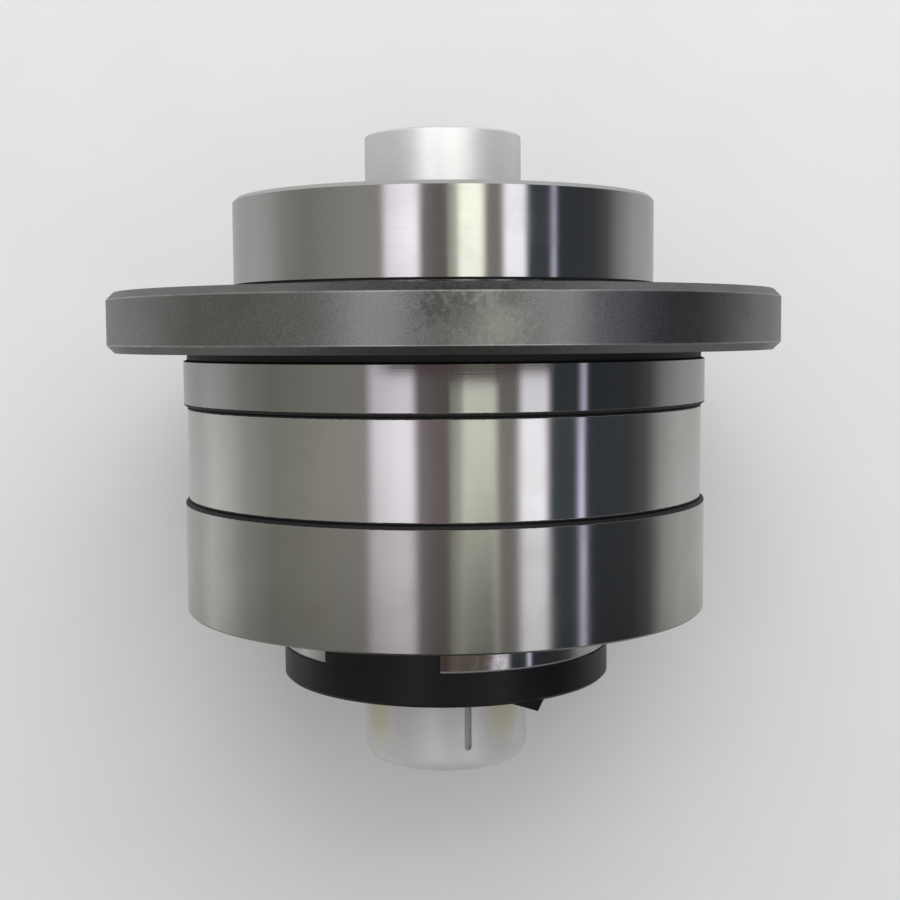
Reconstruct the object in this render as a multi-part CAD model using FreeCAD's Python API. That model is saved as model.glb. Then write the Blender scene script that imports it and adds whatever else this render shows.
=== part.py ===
import FreeCAD, Part
import math
import os
from collections import namedtuple

from FreeCAD import Vector

# Rotary ball screw nut with its support bearing built on, shown on its shipping arbor.
# Millimetres. The axis is Z, +Z points to the pulley boss, and Z = 0 is the seat of the flange.
# Angles are in degrees, counted anticlockwise from +X as seen from the boss.

# Ball track in the nut
TRACK_LEAD = 25.0
TRACK_STARTS = 2
TURNS_BETWEEN_RETURNS = 2
BALL_CENTRE_RADIUS = 13.0
TRACK_BALL_DIAMETER = 3.97
TRACK_BALL_GAP = 0.06
TRACK_GROOVE_RADIUS = 2.06
BORE_INSIDE_BALL_CENTRES = 0.3

# Ball return through the nut wall
RETURN_HOLE_RADIUS = 2.15
RETURN_WALL = 1.40
RETURN_ANGLE = -77.5
PICKUP_RISE = 4.97
PICKUP_BEND_RADIUS = 3.0
PICKUP_LEAD_IN = 1.4

# Nut body
SPIGOT_WALL = 2.0
RACE_WALL = 3.55
LAND_HEIGHT = 2.0
NUT_STANDOUT = 5.35
BOSS_GAP = 0.8
PILOT_GAP = 0.74
PILOT_DEPTH = 3.35
PILOT_WALL = 5.5
BOSS_CHAMFER = 0.5
SPIGOT_CHAMFER = 0.3
PULLEY_BOLT_ANGLE = 40.0
PULLEY_TAP_RADIUS = 2.5
PULLEY_TAP_WALL = 1.44
PULLEY_TAP_DEPTH = 12.0

# Support bearing
BEARING_BALL_DIAMETER = 7.94
RACE_CLEARANCE = 0.05
RACE_CONFORMITY = 1.04
CONTACT_ANGLE = 40.0
RETAINING_LIP = 0.3
RACE_RUNOUT = 0.6
CAGE_THICKNESS = 3.15
CAGE_RIM = 0.55
CAGE_WEB = 1.85
POCKET_CLEARANCE = 0.12

# Outer rings
OUTER_RING_WALL = 3.65
FLANGED_RING_WIDTH = 15.25
SPACER_WIDTH = 12.85
PLAIN_RING_WIDTH = 15.25
SPACER_RECESS = 0.5
RING_CHAMFER = 0.25
FLANGE_RIM = 10.0
FLANGE_THICKNESS = 8.0
FLANGE_CHAMFER = 1.0
RELIEF_WIDTH = 1.2
RELIEF_DEPTH = 0.5
SEAT_RELIEF_WIDTH = 0.4
SEAT_RELIEF_DEPTH = 0.2
FLANGE_HOLE_RADIUS = 2.75
FLANGE_HOLE_INSET = 4.5
FLANGE_HOLE_COUNT = 6
FLANGE_HOLE_START = 0.0

# Bearing seals
SEAL_POCKET_DEPTH = 3.0
SEAL_SEAT = 1.3
SEAL_RECESS = 0.5
SEAL_RIM = 1.6
SEAL_WEB = 1.0
SEAL_LIP = 1.3
SEAL_RUNNING_GAP = 0.07
SEAT_GAP = 0.02

# End caps
CAP_THICKNESS = 4.4
CAP_CHAMFER = 0.4
CAP_BORE_GAP = 0.25
TONGUE_HEIGHT = 5.2
TONGUE_ANGLE_BEHIND = 8.5
TONGUE_ANGLE_AHEAD = 33.5
TONGUE_GAP = 0.05
BOLT_NOTCH_RADIUS = 3.3
LUG_ANGLE = -70.5
LUG_SPAN_ANGLE = 13.0
LUG_WIDTH = 2.0
LUG_EDGE = 0.6
LUG_HEIGHT = 1.5
LUG_STEP_LEAN = 0.2

# End cap screws
CAP_SCREW_EDGE = 0.76
CAP_SCREW_ANGLE = 30.5
SCREW_SHANK_RADIUS = 1.25
SCREW_SHANK_LENGTH = 7.5
SCREW_HEAD_RADIUS = 2.2
SCREW_HEAD_HEIGHT = 2.2
SCREW_SOCKET_FLATS = 2.0
SCREW_SOCKET_DEPTH = 1.2
SCREW_HEAD_SINK = 0.3
SCREW_CLEARANCE = 0.2

# Shaft wipers
WIPER_RING_WIDTH = 2.3
WIPER_THICKNESS = 2.6
WIPER_STANDOUT = 0.5
WIPER_RIDGE_RADIUS = 1.85

# Shipping arbor
ARBOR_GAP = 0.215
ARBOR_WALL = 2.8
ARBOR_TOP_STANDOUT = 8.8
ARBOR_FOOT_STANDOUT = 12.1
ARBOR_CHAMFER = 0.2
COLLAR_RIM = 0.6
COLLAR_GAP = 0.15
COLLAR_ROUND = 2.0
COLLAR_SLOT_WIDTH = 0.9
COLLAR_SLOT_DEPTH = 0.7
COLLAR_SLOT_MARGIN = 3.2
COLLAR_SLOT_ANGLE = -27.0

# Radii worked out from the axis outwards
track_ball_radius = TRACK_BALL_DIAMETER / 2
nut_bore_radius = BALL_CENTRE_RADIUS - BORE_INSIDE_BALL_CENTRES
return_radius = BALL_CENTRE_RADIUS + TRACK_GROOVE_RADIUS + RETURN_WALL + RETURN_HOLE_RADIUS
spigot_radius = return_radius + RETURN_HOLE_RADIUS + SPIGOT_WALL
pilot_radius = spigot_radius + PILOT_GAP
boss_radius = pilot_radius + PILOT_WALL
bearing_ball_radius = BEARING_BALL_DIAMETER / 2
inner_race_radius = return_radius + RETURN_HOLE_RADIUS + RACE_WALL
pitch_radius = inner_race_radius + RACE_CLEARANCE + bearing_ball_radius
outer_race_radius = pitch_radius + bearing_ball_radius + RACE_CLEARANCE
land_radius = inner_race_radius + LAND_HEIGHT
shoulder_radius = outer_race_radius - LAND_HEIGHT
housing_radius = outer_race_radius + OUTER_RING_WALL
flange_radius = housing_radius + FLANGE_RIM
flange_bolt_radius = housing_radius + FLANGE_HOLE_INSET
seal_pocket_radius = shoulder_radius + SEAL_SEAT
cap_bore_radius = nut_bore_radius + CAP_BORE_GAP
wiper_radius = nut_bore_radius + WIPER_RING_WIDTH
arbor_radius = BALL_CENTRE_RADIUS - track_ball_radius - ARBOR_GAP
collar_radius = arbor_radius + COLLAR_RIM
pulley_bolt_radius = BALL_CENTRE_RADIUS + TRACK_GROOVE_RADIUS + PULLEY_TAP_WALL + PULLEY_TAP_RADIUS
screw_pocket_radius = SCREW_HEAD_RADIUS + SCREW_CLEARANCE
cap_screw_radius = spigot_radius - CAP_SCREW_EDGE - screw_pocket_radius

# Heights worked out from the flange seat
flange_top = FLANGE_THICKNESS
flanged_ring_foot = flange_top - FLANGED_RING_WIDTH
spacer_foot = flanged_ring_foot - SPACER_WIDTH
plain_ring_foot = spacer_foot - PLAIN_RING_WIDTH
upper_row_height = (flange_top - SEAL_POCKET_DEPTH + flanged_ring_foot) / 2
lower_row_height = (plain_ring_foot + SEAL_POCKET_DEPTH + spacer_foot) / 2
pickup_run = math.sqrt(return_radius**2 - BALL_CENTRE_RADIUS**2)
pickup_angle = math.degrees(math.atan2(pickup_run, BALL_CENTRE_RADIUS))
loaded_turns = TURNS_BETWEEN_RETURNS - pickup_angle / 180
loaded_length = loaded_turns * TRACK_LEAD
nut_foot = plain_ring_foot - NUT_STANDOUT
track_middle = nut_foot + PICKUP_RISE + loaded_length / 2
cap_seat = nut_foot + PICKUP_RISE + loaded_length + PICKUP_RISE
boss_top = cap_seat + CAP_THICKNESS + PILOT_DEPTH
boss_foot = flange_top + BOSS_GAP
cap_face = cap_seat + CAP_THICKNESS
cap_foot = nut_foot - CAP_THICKNESS
arbor_top = boss_top + ARBOR_TOP_STANDOUT
arbor_foot = cap_foot - ARBOR_FOOT_STANDOUT
collar_top = cap_foot - WIPER_STANDOUT - COLLAR_GAP

AXIS = Vector(0, 0, 1)
ORIGIN = Vector(0, 0, 0)
CUT_ALLOWANCE = 1.0
Arc = namedtuple("Arc", "middle end")


def polar(radius, angle, height):
    """A point at a radius and an angle about the axis."""
    turn = math.radians(angle)
    return Vector(radius * math.cos(turn), radius * math.sin(turn), height)


def turned(start, *steps):
    """A solid of revolution. Steps are (radius, height) corners, or an Arc through two such points."""
    edges = []
    here = Vector(start[0], 0, start[1])
    for step in (*steps, start):
        if isinstance(step, Arc):
            middle = Vector(step.middle[0], 0, step.middle[1])
            there = Vector(step.end[0], 0, step.end[1])
            edges.append(Part.Arc(here, middle, there).toShape())
        else:
            there = Vector(step[0], 0, step[1])
            edges.append(Part.makeLine(here, there))
        here = there
    return Part.Face(Part.Wire(edges)).revolve(ORIGIN, AXIS, 360)


def turned_about(about, solid):
    """The same solid turned by an angle about the axis."""
    return solid.rotated(ORIGIN, AXIS, about)


def flipped(solid):
    """The same solid at the other end of the track: a half turn about the line of the ball returns."""
    return solid.rotated(Vector(0, 0, track_middle), polar(1, RETURN_ANGLE, 0), 180)


def sector(inner, outer, low, high, start, span):
    """A part-ring between two radii, two heights and two angles."""
    whole = Part.makeCylinder(outer, high - low, Vector(0, 0, low), AXIS, span)
    hole = Part.makeCylinder(inner, high - low, Vector(0, 0, low), AXIS)
    return turned_about(start, whole.cut(hole))


def drilled(radius, low, high, at_radius, angle):
    """A plain round hole along the axis."""
    foot = polar(at_radius, angle, low)
    return Part.makeCylinder(radius, high - low, foot, AXIS)


def rod_along(path, radius):
    """A round rod swept along a path."""
    first = path.Edges[0]
    begin = first.valueAt(first.FirstParameter)
    heading = first.tangentAt(first.FirstParameter)
    section = Part.Wire(Part.Circle(begin, heading, radius).toShape())
    return path.makePipeShell([section], True, True)


# Bearing races

RaceArc = namedtuple("RaceArc", "radius height")
race_groove_radius = bearing_ball_radius * RACE_CONFORMITY
race_offset = race_groove_radius - bearing_ball_radius - RACE_CLEARANCE
contact = math.radians(CONTACT_ANGLE)


def inner_race(row_height, outward):
    """Centre of the groove arc on the nut. Outward is +1 for the upper row and -1 for the lower row."""
    return RaceArc(
        pitch_radius + race_offset * math.cos(contact),
        row_height + outward * race_offset * math.sin(contact),
    )


def outer_race(row_height, outward):
    """Centre of the groove arc in an outer ring."""
    return RaceArc(
        pitch_radius - race_offset * math.cos(contact),
        row_height - outward * race_offset * math.sin(contact),
    )


def half_chord(race, radius):
    """How far above or below its centre a groove arc meets a cylinder."""
    return math.sqrt(race_groove_radius**2 - (race.radius - radius) ** 2)


neck_radius = inner_race(0, 1).radius - race_groove_radius + RETAINING_LIP
lip_radius = outer_race(0, 1).radius + race_groove_radius - RETAINING_LIP


# Outer rings, which stay still in the housing


def flanged_outer_ring():
    race = outer_race(upper_row_height, 1)
    pocket_floor = flange_top - SEAL_POCKET_DEPTH
    ring = turned(
        (lip_radius, flanged_ring_foot),
        (housing_radius - RING_CHAMFER, flanged_ring_foot),
        (housing_radius, flanged_ring_foot + RING_CHAMFER),
        (housing_radius, -RELIEF_WIDTH),
        (housing_radius - RELIEF_DEPTH, -RELIEF_WIDTH + RELIEF_DEPTH / 2),
        (housing_radius - RELIEF_DEPTH, SEAT_RELIEF_DEPTH),
        (housing_radius + SEAT_RELIEF_WIDTH / 2, SEAT_RELIEF_DEPTH),
        (housing_radius + SEAT_RELIEF_WIDTH, 0),
        (flange_radius - FLANGE_CHAMFER, 0),
        (flange_radius, FLANGE_CHAMFER),
        (flange_radius, flange_top - FLANGE_CHAMFER),
        (flange_radius - FLANGE_CHAMFER, flange_top),
        (seal_pocket_radius, flange_top),
        (seal_pocket_radius, pocket_floor),
        (shoulder_radius, pocket_floor),
        (shoulder_radius, race.height + half_chord(race, shoulder_radius)),
        Arc(
            (race.radius + race_groove_radius, race.height),
            (lip_radius, race.height - half_chord(race, lip_radius)),
        ),
    )
    holes = [
        drilled(
            FLANGE_HOLE_RADIUS,
            -CUT_ALLOWANCE,
            flange_top + CUT_ALLOWANCE,
            flange_bolt_radius,
            FLANGE_HOLE_START + 360 / FLANGE_HOLE_COUNT * number,
        )
        for number in range(FLANGE_HOLE_COUNT)
    ]
    return ring.cut(holes)


def plain_outer_ring():
    race = outer_race(lower_row_height, -1)
    pocket_floor = plain_ring_foot + SEAL_POCKET_DEPTH
    return turned(
        (lip_radius, spacer_foot),
        (lip_radius, race.height + half_chord(race, lip_radius)),
        Arc(
            (race.radius + race_groove_radius, race.height),
            (shoulder_radius, race.height - half_chord(race, shoulder_radius)),
        ),
        (shoulder_radius, pocket_floor),
        (seal_pocket_radius, pocket_floor),
        (seal_pocket_radius, plain_ring_foot),
        (housing_radius - RING_CHAMFER, plain_ring_foot),
        (housing_radius, plain_ring_foot + RING_CHAMFER),
        (housing_radius, spacer_foot - RING_CHAMFER),
        (housing_radius - RING_CHAMFER, spacer_foot),
    )


def outer_ring_spacer():
    outside = housing_radius - SPACER_RECESS
    return turned(
        (lip_radius, spacer_foot),
        (outside - RING_CHAMFER, spacer_foot),
        (outside, spacer_foot + RING_CHAMFER),
        (outside, flanged_ring_foot - RING_CHAMFER),
        (outside - RING_CHAMFER, flanged_ring_foot),
        (lip_radius, flanged_ring_foot),
    )


def bearing_seal(runs_on, seat, outward):
    """A lip seal pressed into a ring. Seat is the pocket floor, and outward points out of the pocket."""
    outside = seal_pocket_radius - SEAT_GAP
    rim_inside = outside - SEAL_RIM
    lip_inside = runs_on + SEAL_RUNNING_GAP
    face = seat + outward * (SEAL_POCKET_DEPTH - SEAL_RECESS)
    web_back = face - outward * SEAL_WEB
    lip_back = web_back - outward * SEAL_LIP / 2
    return turned(
        (outside, seat),
        (outside, face),
        (lip_inside + SEAL_LIP / 2, face),
        (lip_inside, face - outward * SEAL_WEB / 2),
        (lip_inside, lip_back),
        (lip_inside + SEAL_LIP, web_back),
        (rim_inside, web_back),
        (rim_inside, seat),
    )


# Bearing rows, which roll between the nut and the outer rings

bearing_ball_count = int(2 * math.pi * pitch_radius / (BEARING_BALL_DIAMETER + CAGE_WEB))
bearing_ball_angles = [360 / bearing_ball_count * number for number in range(bearing_ball_count)]


def bearing_balls(row_height):
    return Part.makeCompound(
        [
            Part.makeSphere(bearing_ball_radius, polar(pitch_radius, angle, row_height))
            for angle in bearing_ball_angles
        ]
    )


def bearing_cage(row_height):
    pocket = bearing_ball_radius + POCKET_CLEARANCE
    half_height = pocket + CAGE_RIM
    inside = pitch_radius - CAGE_THICKNESS / 2
    outside = pitch_radius + CAGE_THICKNESS / 2
    ring = turned(
        (inside, row_height - half_height),
        (outside, row_height - half_height),
        (outside, row_height + half_height),
        (inside, row_height + half_height),
    )
    pockets = [
        Part.makeCylinder(
            pocket, pitch_radius, polar(pitch_radius / 2, angle, row_height), polar(1, angle, 0)
        )
        for angle in bearing_ball_angles
    ]
    return ring.cut(pockets)


# Path of the track balls: helix, pick-up, return hole, pick-up

return_angles = [RETURN_ANGLE + 360 / TRACK_STARTS * number for number in range(TRACK_STARTS)]
track_foot = track_middle - loaded_length / 2
track_top = track_middle + loaded_length / 2
helix_slope = math.atan2(TRACK_LEAD, 2 * math.pi * BALL_CENTRE_RADIUS)


def helix_path(return_angle, low, high):
    """The line of the ball centres between two heights, on the circuit that returns at that angle."""
    helix = Part.makeHelix(TRACK_LEAD, high - low, BALL_CENTRE_RADIUS)
    helix.translate(Vector(0, 0, low))
    return turned_about(return_angle + 360 * (low - track_middle) / TRACK_LEAD, helix)


def pickup_path(return_angle):
    """The way of the balls in the upper end cap: straight on from the track, then into the return."""
    along = polar(1, return_angle - pickup_angle + 90, 0)
    leave = polar(BALL_CENTRE_RADIUS, return_angle - pickup_angle, track_top)
    straight = pickup_run - PICKUP_BEND_RADIUS * (1 + math.sin(helix_slope))
    climb = AXIS * math.tan(helix_slope)
    bend_start = leave + (along + climb) * straight
    bend_end = polar(return_radius, return_angle, bend_start.z - PICKUP_BEND_RADIUS * math.cos(helix_slope))
    bend_centre = bend_end - along * PICKUP_BEND_RADIUS
    halfway = (math.pi / 2 - helix_slope) / 2
    bend_middle = bend_centre + (along * math.sin(halfway) + AXIS * math.cos(halfway)) * PICKUP_BEND_RADIUS
    return Part.Wire(
        [
            Part.makeLine(leave, bend_start),
            Part.Arc(bend_start, bend_middle, bend_end).toShape(),
        ]
    )


def upper_passages():
    """The ball passages of the upper end cap, each run on into the return hole below it."""
    passages = []
    for angle in return_angles:
        straight, bend = pickup_path(angle).Edges
        mouth = bend.valueAt(bend.LastParameter)
        run_out = Part.makeLine(mouth, mouth - AXIS * TONGUE_HEIGHT)
        passages.append(rod_along(Part.Wire([straight, bend, run_out]), RETURN_HOLE_RADIUS))
    return passages


def upper_pickups():
    """Where the balls leave the track in the steel of the nut, on their way into the upper end cap."""
    pickups = []
    for angle in return_angles:
        straight = pickup_path(angle).Edges[0]
        start = straight.valueAt(straight.FirstParameter)
        heading = straight.tangentAt(straight.FirstParameter)
        lead_in = start - heading * PICKUP_LEAD_IN
        length = straight.Length + PICKUP_LEAD_IN
        pickups.append(Part.makeCylinder(RETURN_HOLE_RADIUS, length, lead_in, heading))
    return pickups


def point_along(edges, distance):
    """The point at a distance along a row of pairs: an edge, and whether it runs backwards."""
    for edge, backwards in edges:
        if distance <= edge.Length:
            travelled = edge.Length - distance if backwards else distance
            return edge.valueAt(edge.getParameterByLength(travelled))
        distance -= edge.Length
    return edge.valueAt(edge.FirstParameter if backwards else edge.LastParameter)


def circuit_balls(return_angle):
    """The balls of one closed circuit, spread evenly round it."""
    upper = pickup_path(return_angle)
    lower = flipped(upper)
    bend = upper.Edges[-1]
    upper_mouth = bend.valueAt(bend.LastParameter)
    lower_mouth = polar(return_radius, return_angle, 2 * track_middle - upper_mouth.z)
    back = Part.makeLine(upper_mouth, lower_mouth)
    circuit = [(edge, False) for edge in helix_path(return_angle, track_foot, track_top).Edges]
    circuit += [(edge, False) for edge in upper.Edges]
    circuit += [(back, False)]
    circuit += [(edge, True) for edge in reversed(lower.Edges)]
    length = sum(edge.Length for edge, backwards in circuit)
    count = int(length / (TRACK_BALL_DIAMETER + TRACK_BALL_GAP))
    return Part.makeCompound(
        [
            Part.makeSphere(track_ball_radius, point_along(circuit, length / count * number))
            for number in range(count)
        ]
    )


# Nut and end caps

tongue_span = TONGUE_ANGLE_BEHIND + TONGUE_ANGLE_AHEAD
tongue_middles = [angle + TONGUE_ANGLE_BEHIND - tongue_span / 2 for angle in return_angles]


def upper_tongues(inside, gap):
    """The tongues of the upper end cap, or with a gap the slots in the nut that take them."""
    edge = math.degrees(gap / spigot_radius)
    return [
        sector(
            inside,
            spigot_radius + gap,
            cap_seat - TONGUE_HEIGHT - gap,
            cap_seat,
            middle - tongue_span / 2 - edge,
            tongue_span + 2 * edge,
        )
        for middle in tongue_middles
    ]


def upper_screw_angles():
    return [middle + side * CAP_SCREW_ANGLE for middle in tongue_middles for side in (-1, 1)]


def pulley_bolt_angles():
    return [
        PULLEY_BOLT_ANGLE,
        180 - PULLEY_BOLT_ANGLE,
        180 + PULLEY_BOLT_ANGLE,
        -PULLEY_BOLT_ANGLE,
    ]


head_seat = cap_face - SCREW_HEAD_SINK - SCREW_HEAD_HEIGHT
screw_point = head_seat - SCREW_SHANK_LENGTH


def nut_blank():
    lower_race = inner_race(lower_row_height, -1)
    upper_race = inner_race(upper_row_height, 1)
    race_foot = lower_row_height - bearing_ball_radius - RACE_RUNOUT
    return turned(
        (nut_bore_radius, nut_foot),
        (spigot_radius - SPIGOT_CHAMFER, nut_foot),
        (spigot_radius, nut_foot + SPIGOT_CHAMFER),
        (spigot_radius, race_foot),
        (neck_radius, race_foot),
        (neck_radius, lower_race.height - half_chord(lower_race, neck_radius)),
        Arc(
            (lower_race.radius - race_groove_radius, lower_race.height),
            (land_radius, lower_race.height + half_chord(lower_race, land_radius)),
        ),
        (land_radius, upper_race.height - half_chord(upper_race, land_radius)),
        Arc(
            (upper_race.radius - race_groove_radius, upper_race.height),
            (neck_radius, upper_race.height + half_chord(upper_race, neck_radius)),
        ),
        (neck_radius, boss_foot),
        (boss_radius - SPIGOT_CHAMFER, boss_foot),
        (boss_radius, boss_foot + SPIGOT_CHAMFER),
        (boss_radius, boss_top - BOSS_CHAMFER),
        (boss_radius - BOSS_CHAMFER, boss_top),
        (pilot_radius + SPIGOT_CHAMFER, boss_top),
        (pilot_radius, boss_top - SPIGOT_CHAMFER),
        (pilot_radius, cap_seat),
        (nut_bore_radius, cap_seat),
    )


def ball_nut_body():
    slots = upper_tongues(nut_bore_radius - CUT_ALLOWANCE, TONGUE_GAP)
    screw_holes = [
        drilled(
            SCREW_SHANK_RADIUS + SEAT_GAP,
            screw_point - SCREW_CLEARANCE,
            cap_seat + CUT_ALLOWANCE,
            cap_screw_radius,
            angle,
        )
        for angle in upper_screw_angles()
    ]
    tapped_holes = [
        drilled(
            PULLEY_TAP_RADIUS,
            cap_seat - PULLEY_TAP_DEPTH,
            cap_seat + CUT_ALLOWANCE,
            pulley_bolt_radius,
            angle,
        )
        for angle in pulley_bolt_angles()
    ]
    returns = [
        drilled(RETURN_HOLE_RADIUS, nut_foot, cap_seat, return_radius, angle)
        for angle in return_angles
    ]
    tracks = [
        rod_along(Part.Wire(helix_path(angle, track_foot, track_top).Edges), TRACK_GROOVE_RADIUS)
        for angle in return_angles
    ]
    both_ends = slots + screw_holes + upper_pickups()
    body = nut_blank()
    for tool in both_ends + [flipped(tool) for tool in both_ends] + tapped_holes + returns + tracks:
        body = body.cut(tool)
    return body


def end_cap(with_bolt_notches):
    """The upper end cap. The lower one is the same part turned over, with no notches for pulley bolts."""
    recess_floor = cap_face + WIPER_STANDOUT - WIPER_THICKNESS
    recess_radius = wiper_radius + SEAT_GAP
    disc = turned(
        (cap_bore_radius, cap_seat),
        (spigot_radius, cap_seat),
        (spigot_radius, cap_face - CAP_CHAMFER),
        (spigot_radius - CAP_CHAMFER, cap_face),
        (recess_radius, cap_face),
        (recess_radius, recess_floor),
        (cap_bore_radius, recess_floor),
    )
    cap = disc.fuse(upper_tongues(cap_bore_radius, 0))
    head_holes = [
        drilled(
            screw_pocket_radius,
            head_seat,
            cap_face + CUT_ALLOWANCE,
            cap_screw_radius,
            angle,
        )
        for angle in upper_screw_angles()
    ]
    shank_holes = [
        drilled(
            SCREW_SHANK_RADIUS + SCREW_CLEARANCE,
            cap_seat - CUT_ALLOWANCE,
            cap_face,
            cap_screw_radius,
            angle,
        )
        for angle in upper_screw_angles()
    ]
    tools = head_holes + shank_holes + upper_passages()
    if with_bolt_notches:
        tools += [bolt_notch(angle) for angle in pulley_bolt_angles()]
    else:
        cap = cap.fuse(cap_lug())
    for tool in tools:
        cap = cap.cut(tool)
    return cap


def bolt_notch(angle):
    """A round-ended notch in the rim of the upper end cap that clears a pulley bolt."""
    height = CAP_THICKNESS + 2 * CUT_ALLOWANCE
    low = cap_seat - CUT_ALLOWANCE
    round_end = Part.makeCylinder(BOLT_NOTCH_RADIUS, height, Vector(pulley_bolt_radius, 0, low))
    mouth = Part.makeBox(
        spigot_radius,
        2 * BOLT_NOTCH_RADIUS,
        height,
        Vector(pulley_bolt_radius, -BOLT_NOTCH_RADIUS, low),
    )
    return turned_about(angle, round_end.fuse(mouth))


def cap_screw(angle):
    """A socket head screw of the upper end cap."""
    head_top = head_seat + SCREW_HEAD_HEIGHT
    screw = turned(
        (0, screw_point),
        (SCREW_SHANK_RADIUS - SCREW_CLEARANCE, screw_point),
        (SCREW_SHANK_RADIUS, screw_point + SCREW_CLEARANCE),
        (SCREW_SHANK_RADIUS, head_seat),
        (SCREW_HEAD_RADIUS, head_seat),
        (SCREW_HEAD_RADIUS, head_top - SCREW_CLEARANCE),
        (SCREW_HEAD_RADIUS - SCREW_CLEARANCE, head_top),
        (0, head_top),
    )
    corner = SCREW_SOCKET_FLATS / math.sqrt(3)
    corners = [
        polar(corner, 60 * number, head_top - SCREW_SOCKET_DEPTH) for number in range(7)
    ]
    socket = Part.Face(Part.makePolygon(corners)).extrude(AXIS * SCREW_SOCKET_DEPTH)
    screw = screw.cut(socket)
    screw.translate(polar(cap_screw_radius, angle, 0))
    return screw


def upper_screws():
    return Part.makeCompound([cap_screw(angle) for angle in upper_screw_angles()])


def cap_lug():
    """The moulded lug of the lower end cap, drawn at the upper end: a ramp that ends in a leaning step."""
    outside = spigot_radius - LUG_EDGE
    begin = RETURN_ANGLE + LUG_ANGLE
    block = sector(outside - LUG_WIDTH, outside, cap_face, cap_face + LUG_HEIGHT, begin, LUG_SPAN_ANGLE)
    root = polar(outside, begin, cap_face)
    toe = polar(outside, begin + LUG_SPAN_ANGLE, cap_face)
    tip = root + (toe - root) * LUG_STEP_LEAN + AXIS * LUG_HEIGHT
    side = Part.Face(Part.makePolygon([root, tip, toe, root]))
    reach = polar(2 * LUG_WIDTH, begin + LUG_SPAN_ANGLE / 2, 0)
    side.translate(-reach)
    return block.common(side.extrude(reach * 2))


def shaft_wiper():
    """The upper wiper: a ring with one thread-shaped ridge for each start of the screw."""
    low = cap_face + WIPER_STANDOUT - WIPER_THICKNESS
    high = cap_face + WIPER_STANDOUT
    ring = turned(
        (nut_bore_radius, low),
        (wiper_radius, low),
        (wiper_radius, high),
        (nut_bore_radius, high),
    )
    core = Part.makeCylinder(BALL_CENTRE_RADIUS, high - low, Vector(0, 0, low))
    margin = 2 * WIPER_RIDGE_RADIUS
    for angle in return_angles:
        path = Part.Wire(helix_path(angle, low - margin, high + margin).Edges)
        ring = ring.fuse(rod_along(path, WIPER_RIDGE_RADIUS).common(core))
    return ring


def shipping_arbor():
    """A tube with a collar at its foot, which is too wide for the nut and has a slot across its side."""
    bore = arbor_radius - ARBOR_WALL
    round_start = collar_radius - COLLAR_ROUND
    half_way = COLLAR_ROUND * math.sqrt(0.5)
    tube = turned(
        (bore, arbor_foot),
        (round_start, arbor_foot),
        Arc(
            (round_start + half_way, arbor_foot + COLLAR_ROUND - half_way),
            (collar_radius, arbor_foot + COLLAR_ROUND),
        ),
        (collar_radius, collar_top),
        (arbor_radius, collar_top),
        (arbor_radius, arbor_top - ARBOR_CHAMFER),
        (arbor_radius - ARBOR_CHAMFER, arbor_top),
        (bore, arbor_top),
    )
    half_width = COLLAR_SLOT_WIDTH / 2
    slot_foot = arbor_foot + COLLAR_SLOT_MARGIN + half_width
    floor = collar_radius - COLLAR_SLOT_DEPTH
    reach = COLLAR_SLOT_DEPTH + CUT_ALLOWANCE
    run = Part.makeBox(
        reach,
        COLLAR_SLOT_WIDTH,
        collar_top - slot_foot,
        Vector(floor, -half_width, slot_foot),
    )
    round_end = Part.makeCylinder(half_width, reach, Vector(floor, 0, slot_foot), Vector(1, 0, 0))
    return tube.cut(turned_about(COLLAR_SLOT_ANGLE, run.fuse(round_end)))


def build():
    """Every piece by the name of its node."""
    upper_screw_set = upper_screws()
    wiper = shaft_wiper()
    pieces = {
        "flanged_outer_ring": flanged_outer_ring(),
        "outer_ring_spacer": outer_ring_spacer(),
        "plain_outer_ring": plain_outer_ring(),
        "upper_bearing_seal": bearing_seal(neck_radius, flange_top - SEAL_POCKET_DEPTH, 1),
        "lower_bearing_seal": bearing_seal(spigot_radius, plain_ring_foot + SEAL_POCKET_DEPTH, -1),
        "upper_bearing_balls": bearing_balls(upper_row_height),
        "lower_bearing_balls": bearing_balls(lower_row_height),
        "upper_bearing_cage": bearing_cage(upper_row_height),
        "lower_bearing_cage": bearing_cage(lower_row_height),
        "ball_nut_body": ball_nut_body(),
        "upper_end_cap": end_cap(True),
        "lower_end_cap": flipped(end_cap(False)),
        "upper_end_cap_screws": upper_screw_set,
        "lower_end_cap_screws": flipped(upper_screw_set),
        "upper_shaft_wiper": wiper,
        "lower_shaft_wiper": flipped(wiper),
        "first_circuit_balls": circuit_balls(return_angles[0]),
        "second_circuit_balls": circuit_balls(return_angles[1]),
        "shipping_arbor": shipping_arbor(),
    }
    return pieces


os.makedirs("parts", exist_ok=True)
for node, shape in build().items():
    shape.exportStep(os.path.join("parts", node + ".step"))
    print(node, len(shape.Solids), "solids", round(shape.Volume, 1), "mm3", shape.isValid())
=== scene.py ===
# %% [markdown]
# # A rotary ball screw nut on its shipping arbor
# The real thing is a ball nut that carries its own two-row bearing: ground steel rings round a hardened nut,
# black moulded caps at the ends and a pale aluminium tube that keeps the balls in.
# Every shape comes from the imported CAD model, whose nodes already have smooth normals, so this lesson is
# about finishes: how grinding, turning, oxide, moulding and a little grease look on those shapes, and how to
# light them.

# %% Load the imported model
import math

import bmesh
import bpy
from mathutils import Matrix, Vector

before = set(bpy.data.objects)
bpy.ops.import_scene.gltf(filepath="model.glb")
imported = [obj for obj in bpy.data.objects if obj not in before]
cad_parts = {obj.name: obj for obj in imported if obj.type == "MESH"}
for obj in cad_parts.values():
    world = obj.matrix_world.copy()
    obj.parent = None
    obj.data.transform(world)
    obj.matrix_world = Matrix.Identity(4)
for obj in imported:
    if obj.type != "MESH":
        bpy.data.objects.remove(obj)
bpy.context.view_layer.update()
MM = 0.001

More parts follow.
